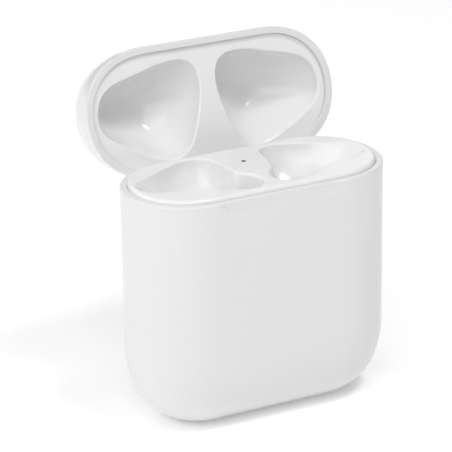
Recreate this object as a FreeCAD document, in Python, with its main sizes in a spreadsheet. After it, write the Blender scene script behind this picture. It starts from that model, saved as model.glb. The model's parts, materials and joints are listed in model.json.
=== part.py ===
import FreeCAD, Part
import Sketcher
import math
import os
import re
from FreeCAD import Placement, Rotation, Vector

# Charging case for a pair of wireless earbuds, modelled with its lid open.
# Millimetres. +X runs along the case, +Y towards the hinge, +Z up.
# The origin is the centre of the charging port's mouth, in the plane of the resting face.

SIZES = [
    # outer shape
    ("case_length", 44.3),
    ("case_depth", 21.3),
    ("seam_height", 39.8),
    ("lid_height", 13.7),
    ("seam_gap", 0.12),
    ("wall", 1.15),
    ("rim_fillet", 0.3),
    ("base_round_x", 10.6),
    ("base_round_y", 8.7),
    ("base_round_height", 13.3),
    ("base_round_power", 2.4),
    ("lid_round_x", 7.1),
    ("lid_round_y", 9.6),
    ("lid_round_power", 2.1),
    ("floor_thickness", 1.6),
    ("cavity_round_x", 9.6),
    ("cavity_round_y", 7.9),
    ("roof_thickness", 1.2),
    # battery cells
    ("battery_x", 13.2),
    ("battery_y", -3.5),
    ("battery_bottom", 8.5),
    ("battery_radius", 5.1),
    ("battery_height", 18),
    ("foam_radius", 4.4),
    ("foam_height", 0.6),
    ("shield_wall", 0.15),
    # finger recess below the rim
    ("recess_half_length", 11.3),
    ("recess_height", 1.9),
    ("recess_depth", 0.45),
    # hinge
    ("hinge_y", 9.87),
    ("hinge_drop", 1.65),
    ("open_angle", 106),
    ("knuckle_radius", 0.75),
    ("pin_radius", 0.4),
    ("pin_running_gap", 0.03),
    ("hinge_half_width", 6.4),
    ("knuckle_outer_x", 4.3),
    ("knuckle_inner_x", 1.25),
    ("knuckle_gap", 0.1),
    ("leaf_thickness", 0.65),
    ("leaf_y", 8.7),
    ("leaf_half_width", 5.0),
    ("arm_y", 9.5),
    ("base_leaf_drop", 7.3),
    ("base_leaf_top_drop", 2.45),
    ("sill_drop", 2.72),
    ("lid_leaf_rise", 4.0),
    ("lid_leaf_y", 8.55),
    ("lid_leaf_thickness", 0.55),
    ("lid_arm_rise", 1.5),
    ("screw_radius", 0.45),
    ("screw_head_radius", 0.85),
    ("screw_head_height", 0.3),
    # liner of the base: deck and wells
    ("liner_inset", 1.25),
    ("deck_rise", 0.65),
    ("deck_thickness", 1.25),
    ("deck_edge", 0.5),
    ("well_wall", 0.7),
    ("well_depth", 12.45),
    ("well_inner_x", 6.8),
    ("well_inner_y", -2.6),
    ("well_inner_radius", 3.2),
    ("well_outer_x", 16.9),
    ("well_outer_y", 0.1),
    ("well_outer_radius", 2.8),
    ("well_rear_x", 7.1),
    ("well_rear_y", 5.1),
    ("well_rear_radius", 3.1),
    ("well_centre_x", 10.3),
    ("well_centre_y", 0.6),
    ("stem_x", 4.2),
    ("stem_y", -4.9),
    ("stem_radius", 3.1),
    ("stem_wall", 0.6),
    ("stem_tube_bottom", 7.7),
    ("stem_seat", 10.2),
    ("stem_socket_radius", 2.9),
    ("light_y", 3.2),
    ("light_radius", 0.38),
    ("light_gap", 0.02),
    # liner of the lid
    ("lid_liner_rise", 0.75),
    ("lid_liner_thickness", 0.9),
    ("pocket_wall", 0.55),
    ("pocket_depth", 8.6),
    ("pocket_front_x", 4.2),
    ("pocket_front_y", -4.8),
    ("pocket_front_radius", 2.9),
    ("pocket_side_x", 16.7),
    ("pocket_side_y", -2.0),
    ("pocket_side_radius", 2.9),
    ("pocket_end_x", 17.3),
    ("pocket_end_y", 0.6),
    ("pocket_end_radius", 2.75),
    ("pocket_rear_x", 7.0),
    ("pocket_rear_y", 5.0),
    ("pocket_rear_radius", 3.3),
    ("pocket_centre_x", 10.3),
    ("pocket_centre_y", -0.4),
    ("liner_notch_half_width", 4.5),
    ("liner_notch_y", 8.35),
    # charging port
    ("port_half_spacing", 2.87),
    ("port_hole_radius", 1.7),
    ("port_ring_radius", 1.68),
    ("port_ring_height", 1.2),
    ("port_mouth_radius", 1.28),
    ("port_shell_radius", 1.62),
    ("port_shell_bottom", 1.22),
    ("port_shell_top", 7.0),
    ("port_back_thickness", 0.4),
    ("port_bracket_gap", 0.02),
    ("boss_x", 6.3),
    ("boss_radius", 1.1),
    ("boss_bottom", 1.0),
    ("boss_top", 1.95),
    ("port_screw_radius", 0.35),
    ("port_screw_head_radius", 0.75),
    ("port_screw_bottom", 0.9),
    # setup button
    ("button_z", 16),
    ("button_radius", 2.2),
    ("button_gap", 0.06),
    ("button_face_y", 10.6),
    ("button_flange_radius", 2.7),
    ("button_flange_y", 8.95),
    ("button_flange_thickness", 0.5),
    ("button_tip_radius", 0.8),
    ("button_tip_y", 8.6),
    ("switch_dome_radius", 1.1),
    ("switch_dome_height", 0.53),
    # charging contacts at the foot of each stem bore
    ("carrier_bottom", 5.8),
    ("carrier_top", 9.0),
    ("carrier_radius", 2.85),
    ("contact_spacing", 2.4),
    ("barrel_radius", 0.8),
    ("barrel_bore", 0.65),
    ("barrel_floor", 6.2),
    ("barrel_lip", 8.6),
    ("barrel_mouth", 0.5),
    ("pin_shaft_radius", 0.45),
    ("pin_flange_radius", 0.6),
    ("pin_flange_bottom", 8.2),
    ("pin_flange_top", 8.55),
    ("pin_tip_top", 9.9),
    ("spring_outer_radius", 0.55),
    ("spring_inner_radius", 0.35),
    ("spring_bottom", 6.22),
    ("spring_top", 8.18),
]

# Rectangular pieces: centre x, low y, low z, length along X, depth along Y, height along Z.
BLOCKS = {
    "main_board": (0, 6.6, 9.2, 23.0, 0.8, 17.0),
    "board_shield": (-2.0, 5.1, 12.0, 12.0, 1.45, 8.0),
    "power_chip": (8.3, 5.7, 19.4, 3.2, 0.85, 3.2),
    "board_coil": (8.0, 5.3, 13.6, 2.6, 1.25, 2.6),
    "battery_socket": (9.5, 7.45, 21.0, 3.4, 1.0, 1.8),
    "button_switch": (0, 7.45, 14.5, 3.0, 0.4, 3.0),
    "light_board": (0, 1.6, 36.2, 5.4, 4.4, 0.6),
    "status_led": (0, 2.8, 36.85, 1.6, 0.8, 0.7),
    "lid_sensor": (0, 4.2, 36.85, 2.4, 1.3, 0.7),
    "sensor_flex": (0, 1.85, 26.3, 2.4, 0.2, 9.85),
    "flex_tail": (0, 1.85, 26.1, 2.4, 4.7, 0.2),
    "port_board": (0, -0.9, 7.05, 12.6, 8.2, 0.6),
    "port_tongue": (0, -0.35, 2.1, 6.7, 0.7, 4.5),
    "port_bracket": (0, -2.3, 2.0, 15.2, 4.6, 0.5),
    "contact_flex": (0, -6.9, 5.35, 12.0, 4.0, 0.2),
    "base_magnet": (12.0, -8.4, 30.8, 5.6, 2.4, 8.0),
    "stem_magnet": (4.2, -1.1, 12.0, 4.0, 1.5, 8.0),
    "lid_magnet": (12.2, -8.5, 41.6, 5.0, 1.1, 2.7),
}

doc = FreeCAD.newDocument("EarbudCase")
sheet = doc.addObject("Spreadsheet::Sheet", "Dims")


def write_sheet():
    rows = list(SIZES)
    for name, numbers in BLOCKS.items():
        labels = ("x", "y", "z", "length", "depth", "height")
        rows += [(name + "_" + label, number) for label, number in zip(labels, numbers)]
    for row, (alias, number) in enumerate(rows, start=1):
        sheet.set("A%d" % row, alias)
        sheet.set("B%d" % row, str(number))
        sheet.setAlias("B%d" % row, alias)
    doc.recompute()


def link(text):
    return re.sub(r"[a-z][a-z_]+", lambda found: "Dims." + found.group(0), text)


def value(text):
    result = sheet.evalExpression(link(text))
    return float(getattr(result, "Value", result))


def bind(feature, prop, text):
    feature.setExpression(prop, link(text))


write_sheet()

HINGE_Z = "(seam_height - hinge_drop)"
LID_RIM = "(seam_height + seam_gap)"
LID_TOP = "(seam_height + lid_height)"
DECK_TOP = "(seam_height + deck_rise)"
OPEN = Placement(
    Vector(0, 0, 0),
    Rotation(Vector(1, 0, 0), -value("open_angle")),
    Vector(0, value("hinge_y"), value(HINGE_Z)),
)
PIECES = []


def piece(label, feature, in_lid=False):
    """Register a finished sub-part; pieces of the lid are swung open about the hinge."""
    feature.Label = label
    if in_lid:
        feature.Placement = OPEN.multiply(feature.Placement)
    PIECES.append(feature)
    return feature


# ---------------------------------------------------------------- sketches and bodies

def hull_sketch(body, name, circles, level):
    """Closed outline around circles listed anticlockwise: arcs joined by tangent lines."""
    sketch = body.newObject("Sketcher::SketchObject", name)
    plane = [item for item in body.Origin.OriginFeatures if item.Role == "XY_Plane"][0]
    sketch.AttachmentSupport = (plane, [""])
    sketch.MapMode = "FlatFace"
    bind(sketch, "AttachmentOffset.Base.z", level)
    spots = [(Vector(value(x), value(y), 0), value(r)) for x, y, r in circles]
    count = len(spots)
    normals = []
    for index in range(count):
        centre, radius = spots[index]
        next_centre, next_radius = spots[(index + 1) % count]
        along = next_centre - centre
        slope = (radius - next_radius) / along.Length
        along.normalize()
        across = Vector(along.y, -along.x, 0)
        normals.append(along * slope + across * math.sqrt(1 - slope * slope))
    up = Vector(0, 0, 1)
    for index in range(count):
        centre, radius = spots[index]
        start = math.atan2(normals[index - 1].y, normals[index - 1].x)
        end = math.atan2(normals[index].y, normals[index].x)
        if end <= start:
            end += 2 * math.pi
        sketch.addGeometry(Part.ArcOfCircle(Part.Circle(centre, up, radius), start, end), False)
    for index in range(count):
        centre, radius = spots[index]
        next_centre, next_radius = spots[(index + 1) % count]
        normal = normals[index]
        sketch.addGeometry(
            Part.LineSegment(centre + normal * radius, next_centre + normal * next_radius), False
        )
    for index, (x, y, r) in enumerate(circles):
        line = count + index
        following = (index + 1) % count
        sketch.addConstraint(Sketcher.Constraint("Tangent", index, 2, line, 1))
        sketch.addConstraint(Sketcher.Constraint("Tangent", line, 2, following, 1))
    for index, (x, y, r) in enumerate(circles):
        number = sketch.addConstraint(Sketcher.Constraint("Radius", index, value(r)))
        bind(sketch, "Constraints[%d]" % number, r)
        number = sketch.addConstraint(Sketcher.Constraint("DistanceX", -1, 1, index, 3, value(x)))
        bind(sketch, "Constraints[%d]" % number, x)
        number = sketch.addConstraint(Sketcher.Constraint("DistanceY", -1, 1, index, 3, value(y)))
        bind(sketch, "Constraints[%d]" % number, y)
    return sketch


def new_body(name):
    return doc.addObject("PartDesign::Body", name)


def prism(body, name, circles, low, high, cut=False):
    """Pad, or pocket, between two levels over a hull outline."""
    kind = "PartDesign::Pocket" if cut else "PartDesign::Pad"
    sketch = hull_sketch(body, name + "Outline", circles, low)
    feature = body.newObject(kind, name)
    feature.Profile = sketch
    bind(feature, "Length", "(%s) - (%s)" % (high, low))
    if cut:
        feature.Reversed = True
    return feature


def loft(body, name, sections, cut=False):
    """Smooth loft, added or cut, through hull outlines given as (circles, level)."""
    kind = "PartDesign::SubtractiveLoft" if cut else "PartDesign::AdditiveLoft"
    sketches = [
        hull_sketch(body, "%sSection%d" % (name, number), circles, level)
        for number, (circles, level) in enumerate(sections)
    ]
    feature = body.newObject(kind, name)
    feature.Profile = sketches[0]
    feature.Sections = sketches[1:]
    feature.Ruled = False
    return feature


def disc(body, name, x, y, radius, low, high, cut=False):
    """Round pad or pocket between two levels."""
    sketch = body.newObject("Sketcher::SketchObject", name + "Circle")
    plane = [item for item in body.Origin.OriginFeatures if item.Role == "XY_Plane"][0]
    sketch.AttachmentSupport = (plane, [""])
    sketch.MapMode = "FlatFace"
    bind(sketch, "AttachmentOffset.Base.z", low)
    centre = Vector(value(x), value(y), 0)
    sketch.addGeometry(Part.Circle(centre, Vector(0, 0, 1), value(radius)), False)
    number = sketch.addConstraint(Sketcher.Constraint("Radius", 0, value(radius)))
    bind(sketch, "Constraints[%d]" % number, radius)
    number = sketch.addConstraint(Sketcher.Constraint("DistanceX", -1, 1, 0, 3, centre.x))
    bind(sketch, "Constraints[%d]" % number, x)
    number = sketch.addConstraint(Sketcher.Constraint("DistanceY", -1, 1, 0, 3, centre.y))
    bind(sketch, "Constraints[%d]" % number, y)
    feature = body.newObject("PartDesign::Pocket" if cut else "PartDesign::Pad", name)
    feature.Profile = sketch
    bind(feature, "Length", "(%s) - (%s)" % (high, low))
    if cut:
        feature.Reversed = True
    return feature


def fillet_edges_at(body, base_feature, name, level, radius):
    """Round every edge of a body's current shape that lies flat at one level."""
    doc.recompute()
    height = value(level)
    edges = []
    for number, edge in enumerate(base_feature.Shape.Edges, start=1):
        box = edge.BoundBox
        if abs(box.ZMin - height) < 1e-4 and abs(box.ZMax - height) < 1e-4:
            edges.append("Edge%d" % number)
    feature = body.newObject("PartDesign::Fillet", name)
    feature.Base = (base_feature, edges)
    bind(feature, "Radius", radius)
    return feature


# ---------------------------------------------------------------- primitives

def block(name, low, size):
    """Box from its low corner and its size, each a text of sheet names."""
    feature = doc.addObject("Part::Box", name)
    for prop, text in zip(("Length", "Width", "Height"), size):
        bind(feature, prop, text)
    for letter, text in zip("xyz", low):
        bind(feature, "Placement.Base." + letter, text)
    return feature


def sheet_block(name, kind, side=1):
    """Box of the sheet's BLOCKS table, mirrored across X = 0 for side -1."""
    middle = "%s_x" % kind if side > 0 else "-%s_x" % kind
    low = ("%s - %s_length / 2" % (middle, kind), kind + "_y", kind + "_z")
    return block(name, low, (kind + "_length", kind + "_depth", kind + "_height"))


TURNS = {
    "x": Rotation(Vector(0, 1, 0), 90),
    "y": Rotation(Vector(1, 0, 0), -90),
    "z": Rotation(),
}


def rod(name, start, radius, length, along="z"):
    """Cylinder from the centre of its first end, running along +X, +Y or +Z."""
    feature = doc.addObject("Part::Cylinder", name)
    bind(feature, "Radius", radius)
    bind(feature, "Height", length)
    feature.Placement = Placement(Vector(0, 0, 0), TURNS[along])
    for letter, text in zip("xyz", start):
        bind(feature, "Placement.Base." + letter, text)
    return feature


def fuse(name, shapes):
    feature = doc.addObject("Part::MultiFuse", name)
    feature.Shapes = shapes
    return feature


def cut(name, base, tools):
    feature = doc.addObject("Part::Cut", name)
    feature.Base = base
    feature.Tool = tools[0] if len(tools) == 1 else fuse(name + "Tools", tools)
    return feature


def group(name, shapes):
    feature = doc.addObject("Part::Compound", name)
    feature.Links = shapes
    return feature


def oblong(name, half_spacing, radius, low, high):
    """Straight prism over an oval outline on the Z axis."""
    body = new_body(name)
    circles = [("-" + half_spacing, "0", radius), (half_spacing, "0", radius)]
    prism(body, name + "Pad", circles, low, high)
    return body


# ---------------------------------------------------------------- outlines

def oval(inset_x, inset_y):
    """Plan outline of the case, drawn in from its largest size by two insets."""
    radius = "(case_depth / 2 - (%s))" % inset_y
    middle = "(case_length / 2 - (%s) - %s)" % (inset_x, radius)
    return [("-" + middle, "0", radius), (middle, "0", radius)]


def bulge(share, power):
    """Part of the full inset at a given share of the rounding's height."""
    return "(1 - (1 - %g ^ %s) ^ (1 / %s))" % (share, power, power)


def corner_circles(corners, side, centre, spread, roundness, extra):
    """Circles at a hollow's corners, shrunk towards its middle, on one side of the case."""
    circles = []
    for corner in corners:
        x = "(%s_x + (%s_x - %s_x) * %g)" % (centre, corner, centre, spread)
        y = "(%s_y + (%s_y - %s_y) * %g)" % (centre, corner, centre, spread)
        radius = "(%s_radius * %g + %s)" % (corner, roundness, extra)
        circles.append((x if side > 0 else "-" + x, y, radius))
    return circles if side > 0 else circles[::-1]


SHARES = (1, 0.985, 0.94, 0.86, 0.72, 0.5, 0.25, 0)
SIDES = (("right", 1), ("left", -1))


# ---------------------------------------------------------------- base shell

base_block = new_body("BaseBlock")
sections = []
for share in SHARES:
    swell = bulge(share, "base_round_power")
    outline = oval("base_round_x * " + swell, "base_round_y * " + swell)
    sections.append((outline, "base_round_height * %g" % (1 - share)))
loft(base_block, "BaseFoot", sections)
upright = prism(base_block, "BaseUpright", oval("0", "0"), "base_round_height", "seam_height")
fillet_edges_at(base_block, upright, "BaseRim", "seam_height", "rim_fillet")

base_cavity = new_body("BaseCavity")
sections = []
for share in SHARES:
    swell = bulge(share, "base_round_power")
    outline = oval("wall + cavity_round_x * " + swell, "wall + cavity_round_y * " + swell)
    level = "floor_thickness + (base_round_height - floor_thickness) * %g" % (1 - share)
    sections.append((outline, level))
loft(base_cavity, "CavityFoot", sections)
prism(base_cavity, "CavityUpright", oval("wall", "wall"), "base_round_height", "seam_height + 1")

hollow_base = cut("HollowBase", base_block, [base_cavity])
bosses = [
    rod("PortBoss" + name, ("%d * boss_x" % side, "0", "boss_bottom"), "boss_radius",
        "boss_top - boss_bottom")
    for name, side in SIDES
]
bossed_base = fuse("BossedBase", [hollow_base] + bosses)

thumb_half = "(recess_half_length - recess_height)"
thumb_ends = [
    rod("ThumbEnd" + name, ("%d * %s" % (side, thumb_half), "-case_depth / 2 - 1", "seam_height"),
        "recess_height", "recess_depth + 1", "y")
    for name, side in SIDES
]
thumb_middle = block(
    "ThumbMiddle",
    ("-" + thumb_half, "-case_depth / 2 - 1", "seam_height - recess_height"),
    ("2 * " + thumb_half, "recess_depth + 1", "recess_height + 1"),
)
hinge_notch = block(
    "HingeNotch",
    ("-hinge_half_width - knuckle_gap", "case_depth / 2 - wall - 0.3", "seam_height - sill_drop"),
    ("2 * (hinge_half_width + knuckle_gap)", "wall + 1", "sill_drop + 1"),
)
port_hole = oblong("PortHole", "port_half_spacing", "port_hole_radius", "-1", "floor_thickness + 1")
button_hole = rod(
    "ButtonHole",
    ("0", "case_depth / 2 - wall - 1", "button_z"), "button_radius + button_gap", "wall + 2", "y",
)
screw_holes = [
    rod("PortScrewHole" + name, ("%d * boss_x" % side, "0", "port_screw_bottom - 0.1"),
        "port_screw_radius + 0.01", "2")
    for name, side in SIDES
]
leaf_screw_holes = []
for name, side in SIDES:
    leaf_screw_holes.append(rod(
        "BaseLeafHole" + name,
        ("%d * 3.2" % side, "case_depth / 2 - wall - 0.2", "seam_height - 5"),
        "screw_radius + 0.01", "0.9", "y",
    ))
base_shell = cut(
    "BaseShell", bossed_base,
    [thumb_middle, hinge_notch, port_hole, button_hole] + thumb_ends + screw_holes + leaf_screw_holes,
)
piece("base_shell", base_shell)


# ---------------------------------------------------------------- base liner: deck and wells

WELL_CORNERS = ("well_inner", "well_outer", "well_rear")
WELL_LEVELS = ((0, 1, 1), (0.42, 0.97, 0.9), (0.78, 0.85, 0.65), (1, 0.7, 0.35))


def well_sections(side, extra, top, deeper):
    rows = []
    for depth, spread, roundness in WELL_LEVELS:
        circles = corner_circles(WELL_CORNERS, side, "well_centre", spread, roundness, extra)
        rows.append((circles, "%s - (well_depth + %s) * %g" % (top, deeper, depth)))
    return rows


deck = new_body("BaseLiner")
deck_outline = oval("liner_inset", "liner_inset")
plate = prism(deck, "Deck", deck_outline, DECK_TOP + " - deck_thickness", DECK_TOP)
fillet_edges_at(deck, plate, "DeckEdge", DECK_TOP, "deck_edge")
for name, side in SIDES:
    stem_x = "stem_x" if side > 0 else "-stem_x"
    under = "(%s - deck_edge)" % DECK_TOP
    loft(deck, "WellWall" + name, well_sections(side, "well_wall", under, "well_wall - deck_edge"))
    disc(deck, "StemWall" + name, stem_x, "stem_y", "stem_radius + stem_wall",
         "stem_tube_bottom", under)
for name, side in SIDES:
    stem_x = "stem_x" if side > 0 else "-stem_x"
    loft(deck, "Well" + name, well_sections(side, "0", DECK_TOP, "0"), cut=True)
    disc(deck, "StemBore" + name, stem_x, "stem_y", "stem_radius",
         "stem_seat", DECK_TOP, cut=True)
    disc(deck, "StemSocket" + name, stem_x, "stem_y", "stem_socket_radius",
         "stem_tube_bottom", "stem_seat", cut=True)
disc(deck, "LightHole", "0", "light_y", "light_radius + light_gap",
     DECK_TOP + " - deck_thickness", DECK_TOP, cut=True)
piece("base_liner", deck)

light_pipe = rod("LightPipe", ("0", "light_y", "status_led_z + status_led_height + 0.02"),
                 "light_radius", DECK_TOP + " - status_led_z - status_led_height - 0.02")
piece("status_light_pipe", light_pipe)
for kind in ("status_led", "lid_sensor", "light_board"):
    piece(kind, sheet_block(kind, kind))
flex_drop = sheet_block("FlexDrop", "sensor_flex")
flex_tail = sheet_block("FlexTail", "flex_tail")
piece("sensor_flex", fuse("SensorFlex", [flex_drop, flex_tail]))


# ---------------------------------------------------------------- lid shell and liner

lid_block = new_body("LidBlock")
sections = []
for share in SHARES[::-1]:
    swell = bulge(share, "lid_round_power")
    outline = oval("lid_round_x * " + swell, "lid_round_y * " + swell)
    sections.append((outline, "%s + (lid_height - seam_gap) * %g" % (LID_RIM, share)))
loft(lid_block, "LidDome", sections)

lid_cavity = new_body("LidCavity")
prism(lid_cavity, "LidMouth", oval("wall", "wall"), "seam_height - 1", LID_RIM)
sections = []
for share in SHARES[::-1]:
    swell = bulge(share, "lid_round_power")
    outline = oval("wall + (lid_round_x - 0.6) * " + swell, "wall + (lid_round_y - 0.9) * " + swell)
    sections.append((outline, "%s + (lid_height - seam_gap - roof_thickness) * %g" % (LID_RIM, share)))
loft(lid_cavity, "LidHollow", sections)

arm_notches = []
for name, side in SIDES:
    start = "knuckle_inner_x - knuckle_gap" if side > 0 else "-knuckle_outer_x - knuckle_gap"
    arm_notches.append(block(
        "ArmNotch" + name,
        (start, "case_depth / 2 - wall - 0.3", "seam_height - 1"),
        ("knuckle_outer_x - knuckle_inner_x + 2 * knuckle_gap", "wall + 1", "lid_arm_rise + 1.02"),
    ))
lid_screw_holes = []
for name, side in SIDES:
    lid_screw_holes.append(rod(
        "LidLeafHole" + name,
        ("%d * 2.8" % side, "case_depth / 2 - wall - 0.6", "seam_height + 3"),
        "screw_radius + 0.01", "0.9", "y",
    ))
piece("lid_shell", cut("LidShell", lid_block, [lid_cavity] + arm_notches + lid_screw_holes), True)

POCKET_CORNERS = ("pocket_front", "pocket_side", "pocket_end", "pocket_rear")
POCKET_LEVELS = ((0, 1, 1), (0.5, 0.97, 0.85), (0.8, 0.9, 0.62), (1, 0.8, 0.38))
LINER_FACE = "(seam_height + lid_liner_rise)"


def pocket_sections(side, extra, bottom, higher):
    rows = []
    for height, spread, roundness in POCKET_LEVELS:
        circles = corner_circles(POCKET_CORNERS, side, "pocket_centre", spread, roundness, extra)
        rows.append((circles, "%s + (pocket_depth + %s) * %g" % (bottom, higher, height)))
    return rows


lid_lining = new_body("LidLining")
prism(lid_lining, "LidFlange", oval("liner_inset", "liner_inset"), LINER_FACE,
      LINER_FACE + " + lid_liner_thickness")
for name, side in SIDES:
    inside = "(%s + 0.3)" % LINER_FACE
    loft(lid_lining, "PocketWall" + name, pocket_sections(side, "pocket_wall", inside, "pocket_wall - 0.3"))
for name, side in SIDES:
    loft(lid_lining, "Pocket" + name, pocket_sections(side, "0", LINER_FACE, "0"), cut=True)
liner_notch = block(
    "LinerNotch",
    ("-liner_notch_half_width", "liner_notch_y", "seam_height"),
    ("2 * liner_notch_half_width", "3", "3"),
)
piece("lid_liner", cut("LidLiner", lid_lining, [liner_notch]), True)


# ---------------------------------------------------------------- hinge

def knuckle(name, start_x, length):
    return rod(name, (start_x, "hinge_y", HINGE_Z), "knuckle_radius", length, "x")


def pin_bore(name, radius):
    start = "-hinge_half_width - 1"
    return rod(name, (start, "hinge_y", HINGE_Z), radius, "2 * hinge_half_width + 2", "x")


base_leaf = [block(
    "BaseLeaf",
    ("-leaf_half_width", "leaf_y", "seam_height - base_leaf_drop"),
    ("2 * leaf_half_width", "leaf_thickness", "base_leaf_drop - base_leaf_top_drop"),
)]
base_spans = (
    ("Left", "-hinge_half_width", "hinge_half_width - knuckle_outer_x - knuckle_gap"),
    ("Middle", "-knuckle_inner_x + knuckle_gap", "2 * (knuckle_inner_x - knuckle_gap)"),
    ("Right", "knuckle_outer_x + knuckle_gap", "hinge_half_width - knuckle_outer_x - knuckle_gap"),
)
for name, start, length in base_spans:
    base_leaf.append(knuckle("BaseKnuckle" + name, start, length))
    base_leaf.append(block(
        "BaseWeb" + name,
        (start, "leaf_y + 0.3", "seam_height - sill_drop + 0.03"),
        (length, "hinge_y + knuckle_radius - leaf_y - 0.3", "sill_drop - 0.03 - hinge_drop"),
    ))
base_leaf_holes = [
    rod("BaseScrewPass" + name, ("%d * 3.2" % side, "leaf_y - 1", "seam_height - 5"),
        "screw_radius + 0.01", "3", "y")
    for name, side in SIDES
]
bracket = cut("HingeBaseBracket", fuse("BaseLeafBlank", base_leaf),
              [pin_bore("BasePinBore", "pin_radius + 0.005")] + base_leaf_holes)
piece("hinge_base_bracket", bracket)

lid_leaf = [block(
    "LidLeaf",
    ("-knuckle_outer_x", "lid_leaf_y", "seam_height + 0.85"),
    ("2 * knuckle_outer_x", "lid_leaf_thickness", "lid_leaf_rise - 0.85"),
)]
for name, side in SIDES:
    start = "knuckle_inner_x" if side > 0 else "-knuckle_outer_x"
    length = "knuckle_outer_x - knuckle_inner_x"
    lid_leaf.append(knuckle("LidKnuckle" + name, start, length))
    lid_leaf.append(block(
        "LidArm" + name,
        (start, "arm_y", HINGE_Z),
        (length, "hinge_y + knuckle_radius - arm_y", "hinge_drop + lid_arm_rise"),
    ))
    lid_leaf.append(block(
        "LidLink" + name,
        (start, "lid_leaf_y", "seam_height + 0.85"),
        (length, "hinge_y + knuckle_radius - lid_leaf_y", "lid_arm_rise - 0.85"),
    ))
lid_leaf_holes = [
    rod("LidScrewPass" + name, ("%d * 2.8" % side, "lid_leaf_y - 1", "seam_height + 3"),
        "screw_radius + 0.01", "3", "y")
    for name, side in SIDES
]
leaf = cut("HingeLidLeaf", fuse("LidLeafBlank", lid_leaf),
           [pin_bore("LidPinBore", "pin_radius + pin_running_gap")] + lid_leaf_holes)
piece("hinge_lid_leaf", leaf, True)

hinge_pin = rod("HingePin", ("-hinge_half_width", "hinge_y", HINGE_Z), "pin_radius",
                "2 * hinge_half_width", "x")
piece("hinge_pin", hinge_pin)


def leaf_screws(name, x, z, leaf, shank):
    """Two short screws through a hinge leaf into the wall behind it, heads inside."""
    solids = []
    for label, side in SIDES:
        place = "%d * %g" % (side, x)
        head = rod(name + "Head" + label, (place, leaf + "_y - screw_head_height", z),
                   "screw_head_radius", "screw_head_height", "y")
        body = rod(name + "Shank" + label, (place, leaf + "_y - 0.1", z),
                   "screw_radius", leaf + "_thickness + 0.1 + %g" % shank, "y")
        solids.append(fuse(name + label, [head, body]))
    return group(name, solids)


piece("hinge_screws_base", leaf_screws("BaseLeafScrews", 3.2, "seam_height - 5", "leaf", 0.7))
piece("hinge_screws_lid", leaf_screws("LidLeafScrews", 2.8, "seam_height + 3", "lid_leaf", 0.6), True)


# ---------------------------------------------------------------- power and boards

for name, side in SIDES:
    cell_x = "%d * battery_x" % side
    piece("battery_" + name, rod("Battery" + name, (cell_x, "battery_y", "battery_bottom"),
                                 "battery_radius", "battery_height"))
    piece("battery_foam_" + name, rod(
        "BatteryFoam" + name, (cell_x, "battery_y", "battery_bottom + battery_height"),
        "foam_radius", "foam_height",
    ))
    piece("base_magnet_" + name, sheet_block("BaseMagnet" + name, "base_magnet", side))
    piece("stem_magnet_" + name, sheet_block("StemMagnet" + name, "stem_magnet", side))
    magnet = group("LidMagnet" + name, [sheet_block("LidMagnetBar" + name, "lid_magnet", side)])
    piece("lid_magnet_" + name, magnet, True)

for kind in ("main_board", "power_chip", "board_coil", "battery_socket"):
    piece(kind, sheet_block(kind, kind))
shield_hollow = block(
    "ShieldHollow",
    ("board_shield_x - board_shield_length / 2 + shield_wall", "board_shield_y + shield_wall",
     "board_shield_z + shield_wall"),
    ("board_shield_length - 2 * shield_wall", "board_shield_depth",
     "board_shield_height - 2 * shield_wall"),
)
piece("board_shield", cut("BoardShield", sheet_block("ShieldCan", "board_shield"), [shield_hollow]))


# ---------------------------------------------------------------- charging port

ring = cut("PortRing", oblong("RingOuter", "port_half_spacing", "port_ring_radius", "0", "port_ring_height"),
           [oblong("RingInner", "port_half_spacing", "port_mouth_radius", "-1", "port_ring_height + 1")])
piece("port_trim_ring", ring)
port_shell = cut(
    "PortShell",
    oblong("ShellOuter", "port_half_spacing", "port_shell_radius", "port_shell_bottom", "port_shell_top"),
    [oblong("ShellInner", "port_half_spacing", "port_mouth_radius", "0",
            "port_shell_top - port_back_thickness")],
)
piece("port_shell", port_shell)
piece("port_tongue", sheet_block("PortTongue", "port_tongue"))
piece("port_board", sheet_block("PortBoard", "port_board"))
bracket_holes = [
    rod("BracketHole" + name, ("%d * boss_x" % side, "0", "port_bracket_z - 1"),
        "port_screw_radius + 0.05", "3")
    for name, side in SIDES
]
bracket_slot = oblong("BracketSlot", "port_half_spacing", "(port_shell_radius + port_bracket_gap)",
                      "port_bracket_z - 1", "port_bracket_z + 2")
piece("port_bracket", cut("PortBracket", sheet_block("PortBracketPlate", "port_bracket"),
                          [bracket_slot] + bracket_holes))
port_screws = []
for name, side in SIDES:
    place = "%d * boss_x" % side
    head = rod("PortScrewHead" + name, (place, "0", "port_bracket_z + port_bracket_height"),
               "port_screw_head_radius", "screw_head_height")
    shank = rod("PortScrewShank" + name, (place, "0", "port_screw_bottom"), "port_screw_radius",
                "port_bracket_z + port_bracket_height + 0.1 - port_screw_bottom")
    port_screws.append(fuse("PortScrew" + name, [head, shank]))
piece("port_screws", group("PortScrews", port_screws))


# ---------------------------------------------------------------- setup button

button_parts = [
    rod("ButtonCap", ("0", "button_flange_y", "button_z"), "button_radius",
        "button_face_y - button_flange_y", "y"),
    rod("ButtonFlange", ("0", "button_flange_y", "button_z"), "button_flange_radius",
        "button_flange_thickness", "y"),
    rod("ButtonTip", ("0", "button_tip_y", "button_z"), "button_tip_radius", "0.6", "y"),
]
piece("setup_button", fuse("SetupButton", button_parts))
switch_base = sheet_block("SwitchBase", "button_switch")
switch_dome = rod("SwitchDome", ("0", "button_switch_y + button_switch_depth - 0.1", "button_z"),
                  "switch_dome_radius", "switch_dome_height", "y")
piece("button_switch", fuse("ButtonSwitch", [switch_base, switch_dome]))


# ---------------------------------------------------------------- charging contacts

def contact_spots(side):
    """Two contacts in line across the foot of a stem bore."""
    x = "%d * stem_x" % side
    return (
        ("front", x, "stem_y - contact_spacing / 2"),
        ("rear", x, "stem_y + contact_spacing / 2"),
    )


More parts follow.
